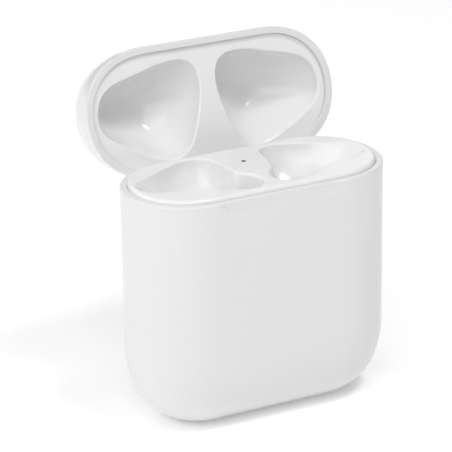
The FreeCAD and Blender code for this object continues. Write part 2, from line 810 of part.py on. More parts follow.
for name, side in SIDES:
    carrier = rod("Carrier" + name, ("%d * stem_x" % side, "stem_y", "carrier_bottom"),
                  "carrier_radius", "carrier_top - carrier_bottom")
    seats = []
    barrels = []
    for spot, x, y in contact_spots(side):
        tag = name + spot
        seats.append(rod("Seat" + tag, (x, y, "carrier_bottom - 1"), "barrel_radius + 0.01", "6"))
        outer = rod("BarrelOuter" + tag, (x, y, "carrier_bottom"), "barrel_radius",
                    "carrier_top - carrier_bottom")
        bore = rod("BarrelBore" + tag, (x, y, "barrel_floor"), "barrel_bore",
                   "barrel_lip - barrel_floor")
        mouth = rod("BarrelMouth" + tag, (x, y, "barrel_floor + 1"), "barrel_mouth", "3")
        barrels.append(cut("Barrel" + tag, outer, [bore, mouth]))
        shaft = rod("PinShaft" + tag, (x, y, "pin_flange_bottom"), "pin_shaft_radius",
                    "pin_tip_top - pin_flange_bottom")
        flange = rod("PinFlange" + tag, (x, y, "pin_flange_bottom"), "pin_flange_radius",
                     "pin_flange_top - pin_flange_bottom")
        piece("contact_pin_%s_%s" % (name, spot), fuse("Pin" + tag, [shaft, flange]))
        coil = rod("SpringOuter" + tag, (x, y, "spring_bottom"), "spring_outer_radius",
                   "spring_top - spring_bottom")
        hollow = rod("SpringInner" + tag, (x, y, "spring_bottom - 1"), "spring_inner_radius", "5")
        piece("contact_spring_%s_%s" % (name, spot), cut("Spring" + tag, coil, [hollow]))
    piece("contact_carrier_" + name, cut("ContactCarrier" + name, carrier, seats))
    piece("contact_barrels_" + name, group("Barrels" + name, barrels))
piece("contact_flex", sheet_block("ContactFlex", "contact_flex"))


# ---------------------------------------------------------------- check and write

doc.recompute()
for item in doc.Objects:
    if "Invalid" in item.State or "Error" in item.State:
        raise RuntimeError("%s failed: %s" % (item.Name, item.State))
for item in PIECES:
    if item.Shape.isNull() or not item.Shape.isValid() or item.Shape.Volume <= 0:
        raise RuntimeError("%s has no valid shape" % item.Label)

os.makedirs("parts", exist_ok=True)
for item in PIECES:
    item.Shape.exportStep("parts/%s.step" % item.Label)
    print("%-28s %9.2f mm3 %d solid(s)" % (item.Label, item.Shape.Volume, len(item.Shape.Solids)))
print(len(PIECES), "pieces")
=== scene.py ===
import json
import math

import bmesh
import bpy
import numpy as np
from mathutils import Matrix, Vector


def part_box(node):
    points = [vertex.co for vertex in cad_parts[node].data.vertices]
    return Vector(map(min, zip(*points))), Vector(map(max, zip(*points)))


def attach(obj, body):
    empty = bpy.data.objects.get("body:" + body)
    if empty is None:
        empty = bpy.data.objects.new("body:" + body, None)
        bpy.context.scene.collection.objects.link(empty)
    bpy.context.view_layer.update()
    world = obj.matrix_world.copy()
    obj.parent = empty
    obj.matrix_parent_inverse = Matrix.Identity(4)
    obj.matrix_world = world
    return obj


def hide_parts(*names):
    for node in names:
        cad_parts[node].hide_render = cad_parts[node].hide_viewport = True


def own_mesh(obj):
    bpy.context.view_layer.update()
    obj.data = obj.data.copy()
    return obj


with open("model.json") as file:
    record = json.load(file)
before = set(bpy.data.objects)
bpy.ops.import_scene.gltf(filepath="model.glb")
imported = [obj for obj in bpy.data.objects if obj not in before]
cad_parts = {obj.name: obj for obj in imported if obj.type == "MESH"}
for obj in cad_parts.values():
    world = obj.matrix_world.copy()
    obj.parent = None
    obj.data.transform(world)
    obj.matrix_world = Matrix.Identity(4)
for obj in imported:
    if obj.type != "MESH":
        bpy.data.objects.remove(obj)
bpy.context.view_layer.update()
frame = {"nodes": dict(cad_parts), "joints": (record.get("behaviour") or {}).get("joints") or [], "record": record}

# Charging case for a pair of wireless earbuds, standing open. Sizes below are in millimetres in
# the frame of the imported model: X along the case, Y towards the hinge, Z up.

MM = 0.001
SHELL_LOW, SHELL_HIGH = (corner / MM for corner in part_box("base_shell"))
HALF_LENGTH = round(SHELL_HIGH.x, 2)
HALF_DEPTH = round(SHELL_HIGH.y, 2)
SEAM = round(SHELL_HIGH.z, 2)
WALL = 1.15
RIM_FILLET = 0.3
INNER_EDGE = 0.12   # rounding of both rims on their inner side
RIM_HOLD = 0.15     # from that rounding to the ring that keeps the rim flat
CARVED_EDGE = 0.1   # rounding of edges that a cut leaves
NEEDLE = 2e-3       # edges shorter than this are dissolved after a cut

HINGE = [joint for joint in frame["joints"] if joint["name"] == "lid_hinge"][0]
HINGE_POINT = Vector(HINGE["pos_m"])
LID_OPEN = (
    Matrix.Translation(HINGE_POINT)
    @ Matrix.Rotation(math.radians(HINGE["range_deg"][0]), 4, "X")
    @ Matrix.Translation(-HINGE_POINT)
)

# ---------------------------------------------------------------- outlines and rings

CAP_POINTS = 60
SIDE_POINTS = 72
CAP_POWER = 2.15
CAP_STRETCH = 1.09


def outline(half_x, half_y, z):
    """Rounded oblong in plan: an end cap, the back, the other cap and the front."""
    cap = min(half_y * CAP_STRETCH, half_x)
    middle = half_x - cap
    turn = np.linspace(-math.pi / 2, math.pi / 2, CAP_POINTS, endpoint=False)
    across, along = np.sin(turn), np.cos(turn)
    end = np.stack([
        middle + cap * np.abs(along) ** (2 / CAP_POWER),
        half_y * np.sign(across) * np.abs(across) ** (2 / CAP_POWER),
    ], 1)
    back = np.stack([middle * np.linspace(1, -1, SIDE_POINTS, endpoint=False),
                     np.full(SIDE_POINTS, half_y)], 1)
    half = np.concatenate([end, back])
    points = np.concatenate([half, -half])
    return np.column_stack([points, np.full(len(points), z)])


def case_ring(inset_x, inset_y, z):
    return outline(HALF_LENGTH - inset_x, HALF_DEPTH - inset_y, z)


def rounding(power, count):
    """(height share, inset share) pairs of a superelliptic rounding, from its flat end."""
    turn = np.linspace(math.pi / 2, 0, count)
    return list(zip(np.sin(turn) ** (2 / power), 1 - np.cos(turn) ** (2 / power)))


def quarter(count):
    """(sine, 1 - cosine) pairs of a quarter turn, both ends included."""
    turn = np.linspace(0, math.pi / 2, count)
    return list(zip(np.sin(turn), 1 - np.cos(turn)))


class Skin:
    """A mesh put together from rings of points."""

    def __init__(self):
        self.bm = bmesh.new()

    def ring(self, points):
        return [self.bm.verts.new(Vector(point) * MM) for point in points]

    def bridge(self, first, second):
        count = len(first)
        for i in range(count):
            j = (i + 1) % count
            self.bm.faces.new((first[i], first[j], second[j], second[i]))

    def tube(self, rings):
        """Join neighbouring rings; returns the vertices of the first and of the last."""
        made = [self.ring(points) for points in rings]
        for first, second in zip(made, made[1:]):
            self.bridge(first, second)
        return made[0], made[-1]

    def close(self, ring, centre):
        hub = self.bm.verts.new(Vector(centre) * MM)
        for i in range(len(ring)):
            self.bm.faces.new((ring[i], ring[(i + 1) % len(ring)], hub))

    def plane(self, loops):
        """Fill the flat area between an outer loop and the loops inside it."""
        edges = []
        for loop in loops:
            for i in range(len(loop)):
                pair = (loop[i], loop[(i + 1) % len(loop)])
                edges.append(self.bm.edges.get(pair) or self.bm.edges.new(pair))
        bmesh.ops.triangle_fill(self.bm, use_beauty=True, edges=edges, normal=Vector((0, 0, 1)))

    def build(self, name):
        bmesh.ops.recalc_face_normals(self.bm, faces=self.bm.faces)
        mesh = bpy.data.meshes.new(name)
        self.bm.to_mesh(mesh)
        self.bm.free()
        piece = bpy.data.objects.new(name, mesh)
        bpy.context.scene.collection.objects.link(piece)
        return piece


def carve(piece, cutters):
    """Cut shapes out of a piece, round the new edges slightly and dissolve needle faces."""
    for cutter in cutters:
        cut = piece.modifiers.new("cut", "BOOLEAN")
        cut.operation = "DIFFERENCE"
        cut.solver = "EXACT"
        cut.object = cutter
    soften = piece.modifiers.new("soften", "BEVEL")
    soften.limit_method = "ANGLE"
    soften.angle_limit = math.radians(55)
    soften.width = CARVED_EDGE * MM
    soften.segments = 2
    soften.harden_normals = False
    bpy.context.view_layer.update()
    graph = bpy.context.evaluated_depsgraph_get()
    mesh = bpy.data.meshes.new_from_object(piece.evaluated_get(graph))
    piece.modifiers.clear()
    cleaned = bmesh.new()
    cleaned.from_mesh(mesh)
    bmesh.ops.dissolve_degenerate(cleaned, dist=NEEDLE * MM, edges=cleaned.edges)
    cleaned.to_mesh(mesh)
    cleaned.free()
    piece.data = mesh
    for cutter in cutters:
        bpy.data.objects.remove(cutter)


def cutter_block(low, high):
    skin = Skin()
    corners = [(low[0], low[1]), (high[0], low[1]), (high[0], high[1]), (low[0], high[1])]
    bottom, top = skin.tube([[(x, y, z) for x, y in corners] for z in (low[2], high[2])])
    skin.bm.faces.new(bottom)
    skin.bm.faces.new(top)
    return skin.build("cutter")


def lathe(name, profile, place, axis, count):
    """Closed turned piece from (radius, height) pairs, both ends on the axis."""
    skin = Skin()
    turn = np.linspace(0, 2 * math.pi, count, endpoint=False)
    rings = []
    for radius, height in profile[1:-1]:
        flat = (radius * np.cos(turn), radius * np.sin(turn))
        level = np.full(count, height)
        axes = {"z": (flat[0], flat[1], level), "y": (flat[0], level, flat[1])}[axis]
        rings.append(np.stack(axes, 1) + np.array(place))
    start, end = skin.tube(rings)
    tip = {"z": (0, 0, 1), "y": (0, 1, 0)}[axis]
    skin.close(start, np.array(place) + np.array(tip) * profile[0][1])
    skin.close(end, np.array(place) + np.array(tip) * profile[-1][1])
    return skin.build(name)


def finish_piece(piece, body, slot, replaced, matrix=None, angle=32):
    """Smooth shading, open position, material, body and the CAD nodes it stands for."""
    if matrix:
        piece.data.transform(matrix)
    piece.data.materials.clear()
    piece.data.materials.append(MATERIALS[slot])
    piece.data.shade_smooth()
    piece.data.set_sharp_from_angle(angle=math.radians(angle))
    even = piece.modifiers.new("even", "WEIGHTED_NORMAL")
    even.mode = "FACE_AREA_WITH_ANGLE"
    even.keep_sharp = True
    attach(piece, body)
    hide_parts(*replaced)
    return piece


# ---------------------------------------------------------------- materials

def material(name, colour, colour_b=None, metallic=0.0, rough=(0.2, 0.26), bump=0.02,
             grain=2500.0, patch=120.0, stretch=(1, 1, 1), ior=1.5, bump_mm=0.01):
    """Principled finish whose colour, roughness and surface grain vary by noise."""
    made = bpy.data.materials.new(name)
    made.use_nodes = True
    tree = made.node_tree
    nodes, links = tree.nodes, tree.links
    surface = nodes["Principled BSDF"]
    coords = nodes.new("ShaderNodeTexCoord")
    mapping = nodes.new("ShaderNodeMapping")
    mapping.inputs["Scale"].default_value = stretch
    links.new(coords.outputs["Object"], mapping.inputs["Vector"])

    def noise(scale, detail):
        node = nodes.new("ShaderNodeTexNoise")
        node.inputs["Scale"].default_value = scale
        node.inputs["Detail"].default_value = detail
        links.new(mapping.outputs["Vector"], node.inputs["Vector"])
        return node.outputs["Fac"]

    broad = noise(patch, 3.0)
    fine = noise(grain, 2.0)
    mix = nodes.new("ShaderNodeMix")
    mix.data_type = "RGBA"
    mix.inputs["A"].default_value = (*colour, 1)
    mix.inputs["B"].default_value = (*(colour_b or [c * 0.96 for c in colour]), 1)
    links.new(broad, mix.inputs["Factor"])
    links.new(mix.outputs["Result"], surface.inputs["Base Color"])
    blend = nodes.new("ShaderNodeMath")
    blend.operation = "MULTIPLY_ADD"
    blend.inputs[1].default_value = 0.5
    links.new(fine, blend.inputs[0])
    half = nodes.new("ShaderNodeMath")
    half.operation = "MULTIPLY"
    half.inputs[1].default_value = 0.5
    links.new(broad, half.inputs[0])
    links.new(half.outputs[0], blend.inputs[2])
    ranged = nodes.new("ShaderNodeMapRange")
    ranged.inputs["To Min"].default_value = rough[0]
    ranged.inputs["To Max"].default_value = rough[1]
    links.new(blend.outputs[0], ranged.inputs["Value"])
    links.new(ranged.outputs[0], surface.inputs["Roughness"])
    raised = nodes.new("ShaderNodeBump")
    raised.inputs["Strength"].default_value = bump
    raised.inputs["Distance"].default_value = bump_mm * MM
    links.new(fine, raised.inputs["Height"])
    links.new(raised.outputs["Normal"], surface.inputs["Normal"])
    surface.inputs["Metallic"].default_value = metallic
    surface.inputs["IOR"].default_value = ior
    return made


def plastic(name, shade, rough):
    return material(name, (shade, shade, shade * 1.002), [shade * 0.985] * 3, rough=rough,
                    bump=0.08, grain=1800, patch=60, bump_mm=0.004)


def metal(name, colour, rough, **extra):
    return material(name, colour, metallic=1.0, rough=rough, bump=0.15, grain=900,
                    bump_mm=0.006, **extra)


MATERIALS = {
    "gloss_white_shell": plastic("gloss_white_shell", 0.745, (0.13, 0.19)),
    # The liner is the same white plastic as the shell, but is given a lighter shade here: painted light that
    # brightens the wells, pockets and deck.
    "gloss_white_liner": plastic("gloss_white_liner", 0.825, (0.13, 0.19)),
    "gloss_white_button": plastic("gloss_white_button", 0.74, (0.16, 0.24)),
    "foam": material("foam", (0.03, 0.03, 0.032), (0.06, 0.06, 0.062), rough=(0.85, 0.98),
                     bump=0.8, grain=3500, patch=900, bump_mm=0.12),
    "cell_can": metal("cell_can", (0.52, 0.54, 0.58), (0.28, 0.42), stretch=(1, 1, 0.05)),
    "magnet_nickel": metal("magnet_nickel", (0.60, 0.59, 0.57), (0.16, 0.28)),
    "steel_polished": metal("steel_polished", (0.66, 0.66, 0.67), (0.09, 0.2),
                            stretch=(0.08, 1, 1)),
    "steel_satin": metal("steel_satin", (0.58, 0.58, 0.59), (0.3, 0.44), stretch=(0.06, 1, 1)),
    "shield_tin": metal("shield_tin", (0.62, 0.62, 0.60), (0.3, 0.45)),
    "spring_steel": metal("spring_steel", (0.55, 0.55, 0.56), (0.2, 0.34)),
    "contact_gold": metal("contact_gold", (0.83, 0.62, 0.27), (0.12, 0.24)),
    "circuit_board": material("circuit_board", (0.015, 0.10, 0.045), (0.03, 0.16, 0.07),
                              rough=(0.32, 0.5), bump=0.5, grain=1600, patch=700, bump_mm=0.03),
    "flex_film": material("flex_film", (0.42, 0.17, 0.03), (0.50, 0.24, 0.06),
                          rough=(0.28, 0.42), bump=0.25, grain=1200, patch=300),
    "carrier_black": material("carrier_black", (0.018, 0.018, 0.02), (0.032, 0.032, 0.034),
                              rough=(0.38, 0.55), bump=0.35, grain=2600, patch=400),
    "light_pipe": material("light_pipe", (0.05, 0.05, 0.052), (0.07, 0.07, 0.07),
                           rough=(0.1, 0.2), bump=0.05, grain=1500, patch=800),
    "lamp": material("lamp", (0.70, 0.68, 0.55), (0.78, 0.76, 0.64), rough=(0.25, 0.4),
                     bump=0.2, grain=1500, patch=800),
    "switch_metal": metal("switch_metal", (0.63, 0.62, 0.60), (0.24, 0.36)),
    "component_black": material("component_black", (0.02, 0.02, 0.022), (0.035, 0.035, 0.036),
                                rough=(0.45, 0.62), bump=0.45, grain=3000, patch=600),
}

for part in frame["record"]["subparts"]:
    node = frame["nodes"][part["node"]]
    finish = MATERIALS[part["material_slot"]]
    if not node.material_slots:
        node.data.materials.append(finish)
    for place in node.material_slots:
        place.material = finish

# ---------------------------------------------------------------- base shell

BASE_ROUND_X, BASE_ROUND_Y, BASE_ROUND_HEIGHT, BASE_POWER = 10.6, 8.7, 13.3, 2.4
CAVITY_ROUND_X, CAVITY_ROUND_Y, FLOOR = 9.6, 7.9, 1.6
RECESS_HALF, RECESS_HEIGHT, RECESS_DEPTH, RECESS_EDGE = 10.6, 1.9, 0.3, 0.6
PORT_HALF, PORT_RADIUS = 2.87, 1.7


def recessed(points, share=1.0):
    """Press the shallow finger recess into points on the front, just below the rim."""
    x, y, z = points.T
    beyond = np.maximum(np.abs(x) - (RECESS_HALF - RECESS_HEIGHT), 0)
    inside = RECESS_HEIGHT - np.hypot(beyond, z - SEAM)
    part = np.clip(inside / RECESS_EDGE, 0, 1)
    press = RECESS_DEPTH * share * part ** 2 * (3 - 2 * part) * (y < 0)
    return points + np.stack([0 * x, press, 0 * x], 1)


base = Skin()
hole = [outline(PORT_HALF + PORT_RADIUS, PORT_RADIUS, z) for z in (0.0, FLOOR)]
rings = [hole[1], hole[0]]
for height, inset in rounding(BASE_POWER, 34):
    rings.append(case_ring(BASE_ROUND_X * inset, BASE_ROUND_Y * inset,
                           BASE_ROUND_HEIGHT * (1 - height)))
PLAIN_LEVELS = np.linspace(15, 36, 15)
RECESS_LEVELS = np.arange(37, SEAM - RIM_FILLET - 0.05, 0.14)
for z in np.concatenate([PLAIN_LEVELS, RECESS_LEVELS]):
    rings.append(recessed(case_ring(0, 0, z)))
for rise, inset in quarter(7):
    ring = case_ring(RIM_FILLET * inset, RIM_FILLET * inset, SEAM - RIM_FILLET * (1 - rise))
    rings.append(recessed(ring))
RIM_FLAT = WALL - INNER_EDGE - RIM_HOLD
rings.append(case_ring(RIM_FLAT, RIM_FLAT, SEAM))
for rise, inset in quarter(6):
    drawn = WALL - INNER_EDGE * (1 - rise)
    rings.append(case_ring(drawn, drawn, SEAM - INNER_EDGE * inset))
for z in (38, 30, 22):
    rings.append(case_ring(WALL, WALL, z))
for height, inset in rounding(BASE_POWER, 14)[::-1]:
    rings.append(case_ring(WALL + CAVITY_ROUND_X * inset, WALL + CAVITY_ROUND_Y * inset,
                           FLOOR + (BASE_ROUND_HEIGHT - FLOOR) * (1 - height)))
first, last = base.tube(rings)
base.bridge(last, first)
base_shell = base.build("visual_base_shell")
HINGE_HALF, NOTCH_DROP = 6.5, 2.72
BUTTON_Z, BUTTON_HOLE = 16.0, 2.26
carve(base_shell, [
    cutter_block((-HINGE_HALF, HALF_DEPTH - WALL - 0.3, SEAM - NOTCH_DROP),
                 (HINGE_HALF, HALF_DEPTH + 1, SEAM + 1)),
    lathe("cutter", [(0, -2), (BUTTON_HOLE, -2), (BUTTON_HOLE, 2), (0, 2)],
          (0, HALF_DEPTH, BUTTON_Z), "y", 72),
])
finish_piece(base_shell, "base", "gloss_white_shell", ["base_shell"])

# ---------------------------------------------------------------- hollows of the liners

HOLLOW_POINTS = 216
PHI = np.linspace(0, 2 * math.pi, HOLLOW_POINTS, endpoint=False)
LIP_ROWS, SIDE_ROWS, FOOT_ROWS = 8, 26, 9
LIP_REACH = 0.55   # how far a lip starts beyond the mouth, as a share of its radius


def even_outline(reaches):
    """Distances for every direction PHI of a smooth outline through evenly turned reaches."""
    count = len(reaches)
    half = count // 2
    waves = np.fft.fft(reaches)
    full = np.zeros(HOLLOW_POINTS, complex)
    full[:half] = waves[:half]
    full[-half + 1:] = waves[-half + 1:]
    full[half] = full[-half] = waves[half] / 2
    return np.real(np.fft.ifft(full)) * HOLLOW_POINTS / count


def circle_reach(centre, circle):
    """Distance from a centre inside a circle to the circle, for every direction PHI."""
    shift = np.array(circle[:2]) - centre
    along = shift[0] * np.cos(PHI) + shift[1] * np.sin(PHI)
    return along + np.sqrt(circle[2] ** 2 - (shift @ shift) + along ** 2)


def toward(degrees, width):
    """Weight from 0 to 1 of the directions PHI near one direction."""
    away = np.abs((PHI - math.radians(degrees) + math.pi) % (2 * math.pi) - math.pi)
    part = np.clip(1 - away / math.radians(width), 0, 1)
    return part ** 2 * (3 - 2 * part)


def soft_most(first, second, blend):
    """Larger of two, with the change from one to the other rounded over."""
    return 0.5 * (first + second + np.sqrt((first - second) ** 2 + blend ** 2))


def soft_least(first, second, blend):
    return -soft_most(-first, -second, blend)


def hollow_rows(mouth, inner, depth, lip, steep, pull_top, pull_foot, foot_angle, foot):
    """(distance, depth) rings for every PHI: a rounded lip, a curved side and a rounded foot."""
    rows = []
    start = mouth + LIP_REACH * lip
    for share in np.linspace(0, 1, LIP_ROWS):
        rows.append((start - lip * np.sin(steep * share), lip * (1 - np.cos(steep * share))))
    top_r, top_d = rows[-1]
    foot_r = inner + foot
    first = (top_r - pull_top * np.cos(steep), top_d + pull_top * np.sin(steep))
    second = (foot_r + pull_foot * np.cos(foot_angle), depth - pull_foot * np.sin(foot_angle))
    for share in np.linspace(0, 1, SIDE_ROWS)[1:]:
        left = 1 - share
        weights = (left ** 3, 3 * share * left ** 2, 3 * share ** 2 * left, share ** 3)
        rows.append(tuple(
            weights[0] * a + weights[1] * b + weights[2] * c + weights[3] * d
            for a, b, c, d in zip((top_r, top_d), first, second, (foot_r, depth + 0 * mouth))
        ))
    return rows


def foot_rows(inner, depth, foot, foot_angle):
    """Rings of the rounded edge between a hollow's floor and the bore that runs on down."""
    rows = []
    for share in np.linspace(0, 1, FOOT_ROWS)[1:]:
        turn = foot_angle + (math.pi / 2 - foot_angle) * share
        span = np.maximum(1 - np.sin(foot_angle), 1e-6)
        along = (1 - np.sin(turn)) / span
        down = (np.cos(foot_angle) - np.cos(turn)) / span
        rows.append((inner + foot * along, depth + foot * down))
    return rows


def polar(centre, radii, z, side):
    x = side * (centre[0] + radii * np.cos(PHI))
    return np.stack([x, centre[1] + radii * np.sin(PHI), z + 0 * radii], 1)


def outside(rows, thickness, least):
    """Outer face of a hollow's wall: its rings moved out across the wall, never above a depth."""
    radii = np.array([row[0] for row in rows])
    depths = np.array([row[1] for row in rows])
    slope_r, slope_d = np.gradient(radii, axis=0), np.gradient(depths, axis=0)
    length = np.maximum(np.hypot(slope_r, slope_d), 1e-6)
    out_r = radii + thickness * slope_d / length
    out_d = np.maximum(depths - thickness * slope_r / length, least)
    return list(zip(out_r, out_d))


# ---------------------------------------------------------------- base liner: deck and wells

LINER_INSET, DECK_TOP, DECK_BOTTOM, DECK_EDGE = 1.17, SEAM + 0.65, SEAM - 0.6, 0.6
WELL_CENTRE = np.array((6.0, -3.0))
WELL_REACH = [
    11.75, 14.02, 14.48, 13.35, 12.14, 11.58, 11.35, 11.32, 11.28, 10.87, 9.32, 6.54,
    4.94, 4.11, 3.77, 3.74, 3.89, 4.19, 4.47, 4.79, 5.21, 5.66, 5.77, 5.68,
    5.53, 5.10, 4.71, 4.47, 4.17, 3.98, 3.88, 3.88, 4.01, 4.38, 5.15, 7.24,
]
STEM = (4.2, -4.9, 3.1)
STEM_SEAT, STEM_SOCKET, STEM_FOOT = 10.2, 2.9, 7.7
WELL_DEPTH = 9.0

bore = circle_reach(WELL_CENTRE, STEM)
well_mouth = soft_most(even_outline(WELL_REACH), bore, 0.5)
wide = well_mouth - bore
ramp = toward(6, 60)
inward = toward(140, 95)
lip = 0.35 + 0.35 * ramp + 0.2 * inward
foot = np.maximum(soft_least(1.1, 0.35 * wide, 0.3), 0.02)
narrow = np.exp(-(wide / 2.2) ** 2)
foot_angle = np.radians(18 + 68 * narrow)
steep = np.radians(86 - 52 * ramp - 14 * inward)
pull_top = soft_least(5.0 - ramp, (0.1 + 0.7 * wide) / np.cos(steep), 0.5)
pull_foot = soft_least(3.0 + 1.5 * ramp, 0.5 * wide + 1.0, 1.0)
well = hollow_rows(well_mouth, bore, WELL_DEPTH, lip, steep, pull_top, pull_foot,
                   foot_angle, foot)
well += foot_rows(bore, WELL_DEPTH, foot, foot_angle)
socket = circle_reach(WELL_CENTRE, (STEM[0], STEM[1], STEM_SOCKET))
deepest = well[-1][1]
for share in (0.25, 0.5, 0.75, 1):
    well.append((bore, deepest + (DECK_TOP - STEM_SEAT - deepest) * share))
WELL_WALL, POCKET_WALL, UNDER_GAP = 0.6, 0.5, 0.05
well_outside = outside(well[LIP_ROWS - 1:], WELL_WALL, DECK_TOP - DECK_BOTTOM)
well.append((socket, DECK_TOP - STEM_SEAT + 0 * bore))
well.append((socket, DECK_TOP - STEM_FOOT + 0 * bore))
well_outside.append((bore + WELL_WALL, DECK_TOP - STEM_FOOT + 0 * bore))

liner = Skin()
edge_rings = [case_ring(LINER_INSET, LINER_INSET, DECK_BOTTOM)]
for rise, inset in quarter(8):
    drawn = LINER_INSET + DECK_EDGE * inset
    edge_rings.append(case_ring(drawn, drawn, DECK_TOP - DECK_EDGE * (1 - rise)))
under_edge, top_edge = liner.tube(edge_rings)
top_loops, under_loops = [top_edge], [under_edge]
for side in (1, -1):
    inner = [polar(WELL_CENTRE, r, DECK_TOP - d, side) for r, d in well]
    outer = [polar(WELL_CENTRE, well_outside[0][0] + UNDER_GAP, DECK_BOTTOM, side)]
    outer += [polar(WELL_CENTRE, r, DECK_TOP - d, side) for r, d in well_outside]
    lip_loop, stem_loop = liner.tube(inner)
    under_loop, tube_loop = liner.tube(outer)
    liner.bridge(stem_loop, tube_loop)
    top_loops.append(lip_loop)
    under_loops.append(under_loop)
LIGHT_Y, LIGHT_HOLE = 3.2, 0.4
LIGHT_POINTS = 32
light_turn = np.linspace(0, 2 * math.pi, LIGHT_POINTS, endpoint=False)
light_ring = np.stack([LIGHT_HOLE * np.cos(light_turn),
                       LIGHT_Y + LIGHT_HOLE * np.sin(light_turn)], 1)
light_rings = [np.column_stack([light_ring, np.full(LIGHT_POINTS, z)])
               for z in (DECK_TOP, DECK_BOTTOM)]
light_top, light_under = liner.tube(light_rings)
liner.plane(top_loops + [light_top])
liner.plane(under_loops + [light_under])
finish_piece(liner.build("visual_base_liner"), "base", "gloss_white_liner", ["base_liner"],
             angle=70)

# ---------------------------------------------------------------- lid shell and liner

LID_RIM, LID_TOP = SEAM + 0.12, SEAM + 13.7
LID_ROUND_X, LID_ROUND_Y, LID_POWER, ROOF = 7.1, 9.6, 2.1, 1.2

dome = Skin()
rings = []
for height, inset in rounding(LID_POWER, 40):
    rings.append(case_ring(LID_ROUND_X * inset, LID_ROUND_Y * inset,
                           LID_RIM + (LID_TOP - LID_RIM) * height))
LID_RIM_EDGE = 0.14
rings[-1] = case_ring(0, 0, LID_RIM + LID_RIM_EDGE)
for rise, inset in quarter(5)[1:]:
    rings.append(case_ring(LID_RIM_EDGE * inset, LID_RIM_EDGE * inset,
                           LID_RIM + LID_RIM_EDGE * (1 - rise)))
rings.append(case_ring(RIM_FLAT, RIM_FLAT, LID_RIM))
for rise, inset in quarter(6):
    drawn = WALL - INNER_EDGE * (1 - rise)
    rings.append(case_ring(drawn, drawn, LID_RIM + INNER_EDGE * inset))
for height, inset in rounding(LID_POWER, 18)[::-1][1:]:
    rings.append(case_ring(WALL + (LID_ROUND_X - 0.6) * inset, WALL + (LID_ROUND_Y - 0.9) * inset,
                           LID_RIM + (LID_TOP - LID_RIM - ROOF) * height))
top, ceiling = dome.tube(rings)
dome.plane([top])
dome.plane([ceiling])
lid_shell = dome.build("visual_lid_shell")
ARM_LOW, ARM_HIGH = 1.15, 4.4
carve(lid_shell, [
    cutter_block((min(side * ARM_LOW, side * ARM_HIGH), HALF_DEPTH - WALL - 0.3, SEAM - 1),
                 (max(side * ARM_LOW, side * ARM_HIGH), HALF_DEPTH + 1, SEAM + 1.52))
    for side in (1, -1)
])
finish_piece(lid_shell, "lid", "gloss_white_shell", ["lid_shell"], LID_OPEN)

LINER_FACE, FLANGE, FACE_EDGE = SEAM + 0.75, 0.9, 0.12
POCKET_CENTRE = np.array((10.3, -0.4))
POCKET_REACH = [
    9.66, 9.45, 8.49, 7.73, 7.40, 7.52, 8.12, 8.98, 9.38, 8.94, 8.42, 8.25,
    8.55, 9.21, 9.96, 9.84, 8.44, 7.32, 6.61, 6.42, 6.69, 7.49, 8.63, 9.43,
]
POCKET_DEPTH = 8.6
NOTCH_HALF, NOTCH_Y = 4.5, 8.35

pocket_mouth = even_outline(POCKET_REACH)
soft = toward(75, 80)
pocket_lip = 0.35 + 0.5 * soft
pocket = hollow_rows(
    pocket_mouth, 0 * pocket_mouth, POCKET_DEPTH, pocket_lip, np.radians(86 - 26 * soft),
    3.6 + 0 * soft, 0.25 * pocket_mouth + 2.6, 0 * soft, 0 * soft,
)[:-1]
pocket_outside = outside(pocket[LIP_ROWS - 1:], POCKET_WALL, FLANGE)


def notched(points):
    """Draw the flange's rear edge in where the hinge leaf passes."""
    held = points.copy()
    near = (np.abs(points[:, 0]) < NOTCH_HALF) & (points[:, 1] > NOTCH_Y)
    held[near, 1] = NOTCH_Y
    return held


lining = Skin()
edge_rings = []
for rise, inset in quarter(6):
    drawn = LINER_INSET + FACE_EDGE * (1 - rise)
    edge_rings.append(notched(case_ring(drawn, drawn, LINER_FACE + FACE_EDGE * inset)))
edge_rings.append(notched(case_ring(LINER_INSET, LINER_INSET, LINER_FACE + FLANGE)))
face_edge, back_edge = lining.tube(edge_rings)
face_loops, back_loops = [face_edge], [back_edge]
for side in (1, -1):
    inner = [polar(POCKET_CENTRE, r, LINER_FACE + d, side) for r, d in pocket]
    outer = [polar(POCKET_CENTRE, pocket_outside[0][0] + UNDER_GAP, LINER_FACE + FLANGE, side)]
    outer += [polar(POCKET_CENTRE, r, LINER_FACE + d, side) for r, d in pocket_outside]
    lip_loop, bottom = lining.tube(inner)
    under_loop, crown = lining.tube(outer)
    middle = (side * POCKET_CENTRE[0], POCKET_CENTRE[1])
    lining.close(bottom, (*middle, LINER_FACE + POCKET_DEPTH))
    lining.close(crown, (*middle, LINER_FACE + POCKET_DEPTH + POCKET_WALL))
    face_loops.append(lip_loop)
    back_loops.append(under_loop)
lining.plane(face_loops)
lining.plane(back_loops)
finish_piece(lining.build("visual_lid_liner"), "lid", "gloss_white_liner", ["lid_liner"], LID_OPEN,
             angle=70)

# ---------------------------------------------------------------- button, pins, springs, port ring

button = lathe("visual_setup_button", [
    (0, -2.05), (0.8, -2.05), (0.8, -1.7), (2.7, -1.7), (2.7, -1.2), (2.2, -1.2), (2.2, -0.25),
    (2.17, -0.15), (2.1, -0.08), (2.0, -0.05), (1.8, -0.06), (1.2, -0.1), (0.6, -0.12), (0, -0.13),
], (0, HALF_DEPTH, BUTTON_Z), "y", 96)
finish_piece(button, "setup_button", "gloss_white_button", ["setup_button"])

